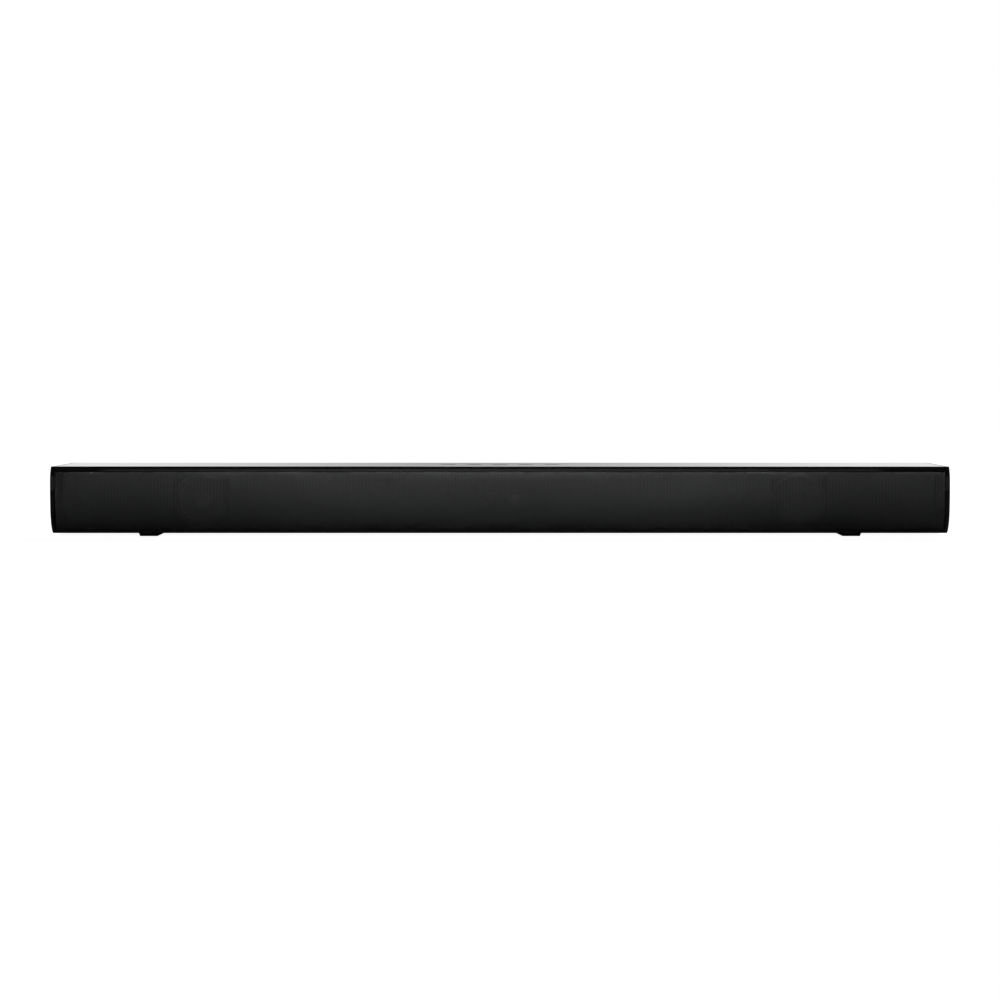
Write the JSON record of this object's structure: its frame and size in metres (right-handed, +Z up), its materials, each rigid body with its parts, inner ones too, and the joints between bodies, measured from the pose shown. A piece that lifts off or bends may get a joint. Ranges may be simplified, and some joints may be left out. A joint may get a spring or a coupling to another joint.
{
  "type": "soundbar",
  "caption": "Long low powered speaker bar with a curved perforated steel grille, gloss top and end caps, low rubber feet, and a recessed socket panel in the back.",
  "frame": {"origin": "on the surface it stands on, under the middle of the bar", "axes": "+X along the bar to the listener's right, +Y towards the back with the sockets, +Z up; the grille faces -Y"},
  "size_m": [0.816, 0.1, 0.0642],
  "materials": {
    "gloss_black": "high-gloss black ABS",
    "satin_black": "fine textured black ABS",
    "grille_steel": "perforated steel, matt black powder coat",
    "baffle_black": "dull black moulded board",
    "foot_rubber": "matt black rubber",
    "button_black": "semi-gloss black",
    "socket_plastic": "moulded black",
    "socket_metal": "nickel-plated shell",
    "plated_steel": "zinc-plated",
    "black_steel": "black oxide",
    "circuit_board": "green solder mask",
    "heatsink_alu": "extruded, plain",
    "ferrite": "sintered",
    "cone_paper": "pressed paper pulp",
    "surround_rubber": "soft butyl",
    "spider_cloth": "resin-stiffened cloth",
    "coil_copper": "enamelled copper winding",
    "lead_jacket": "PVC jacket",
    "ribbon": "flat white ribbon",
    "lens_clear": "clear light pipe",
    "receiver_dark": "dark infrared-pass epoxy",
    "label_silver": "blank satin label",
    "brass_plate": "nickel over brass"
  },
  "bodies": {
    "cabinet": {"aux_socket": "socket_plastic", "baffle_screws": "black_steel", "board_screws": "plated_steel", "control_board": "circuit_board", "control_ribbon": "ribbon", "driver_screws": "black_steel", "filter_capacitors": "socket_plastic", "front_baffle": "baffle_black", "front_grille": "grille_steel", "front_left_foot": "foot_rubber", "front_right_foot": "foot_rubber", "hdmi_socket": "socket_metal", "heatsink": "heatsink_alu", "housing_screws": "black_steel", "indicator_lenses": "lens_clear", "input_panel": "satin_black", "keyhole_plates": "plated_steel", "led_board": "circuit_board", "left_driver_frame": "black_steel", "left_driver_magnet": "ferrite", "left_driver_spider": "spider_cloth", "left_driver_surround": "surround_rubber", "left_end_cap": "gloss_black", "left_port_tube": "satin_black", "left_speaker_lead": "lead_jacket", "main_board": "circuit_board", "optical_socket": "socket_plastic", "panel_screws": "black_steel", "power_board": "circuit_board", "power_inlet": "socket_plastic", "power_inlet_pins": "brass_plate", "rating_plate": "label_silver", "rear_housing": "satin_black", "rear_left_foot": "foot_rubber", "rear_right_foot": "foot_rubber", "remote_receiver": "receiver_dark", "right_driver_frame": "black_steel", "right_driver_magnet": "ferrite", "right_driver_spider": "spider_cloth", "right_driver_surround": "surround_rubber", "right_end_cap": "gloss_black", "right_port_tube": "satin_black", "right_speaker_lead": "lead_jacket", "tact_switches": "plated_steel", "top_cover": "gloss_black", "transformer": "ferrite", "usb_socket": "socket_metal", "wireless_module": "socket_metal"},
    "power_button": {"power_button": "button_black"},
    "source_button": {"source_button": "button_black"},
    "pairing_button": {"pairing_button": "button_black"},
    "volume_down_button": {"volume_down_button": "button_black"},
    "volume_up_button": {"volume_up_button": "button_black"},
    "left_cone": {"left_driver_cone": "cone_paper", "left_driver_dust_cap": "cone_paper", "left_driver_voice_coil": "coil_copper"},
    "right_cone": {"right_driver_cone": "cone_paper", "right_driver_dust_cap": "cone_paper", "right_driver_voice_coil": "coil_copper"},
    "shutter": {"optical_shutter": "socket_plastic"}
  },
  "joints": [
    {"name": "power_button_press", "type": "slide", "parent": "cabinet", "child": "power_button", "axis": [0, 0, -1], "range_m": [0, 0.0005], "stiffness_N_per_m": 1000},
    {"name": "source_button_press", "type": "slide", "parent": "cabinet", "child": "source_button", "axis": [0, 0, -1], "range_m": [0, 0.0005], "stiffness_N_per_m": 1000},
    {"name": "pairing_button_press", "type": "slide", "parent": "cabinet", "child": "pairing_button", "axis": [0, 0, -1], "range_m": [0, 0.0005], "stiffness_N_per_m": 1000},
    {"name": "volume_down_button_press", "type": "slide", "parent": "cabinet", "child": "volume_down_button", "axis": [0, 0, -1], "range_m": [0, 0.0005], "stiffness_N_per_m": 1000},
    {"name": "volume_up_button_press", "type": "slide", "parent": "cabinet", "child": "volume_up_button", "axis": [0, 0, -1], "range_m": [0, 0.0005], "stiffness_N_per_m": 1000},
    {"name": "left_cone_travel", "type": "slide", "parent": "cabinet", "child": "left_cone", "axis": [0, -1, 0], "range_m": [-0.002, 0.002], "stiffness_N_per_m": 900, "deforming": ["left_driver_surround", "left_driver_spider"]},
    {"name": "right_cone_travel", "type": "slide", "parent": "cabinet", "child": "right_cone", "axis": [0, -1, 0], "range_m": [-0.002, 0.002], "stiffness_N_per_m": 900, "deforming": ["right_driver_surround", "right_driver_spider"]},
    {"name": "optical_shutter_swing", "type": "hinge", "parent": "cabinet", "child": "shutter", "pos_m": [-0.044, 0.035, 0.0268], "axis": [-1, 0, 0], "range_deg": [0, 80], "stiffness_Nm_per_rad": 0.0002}
  ]
}
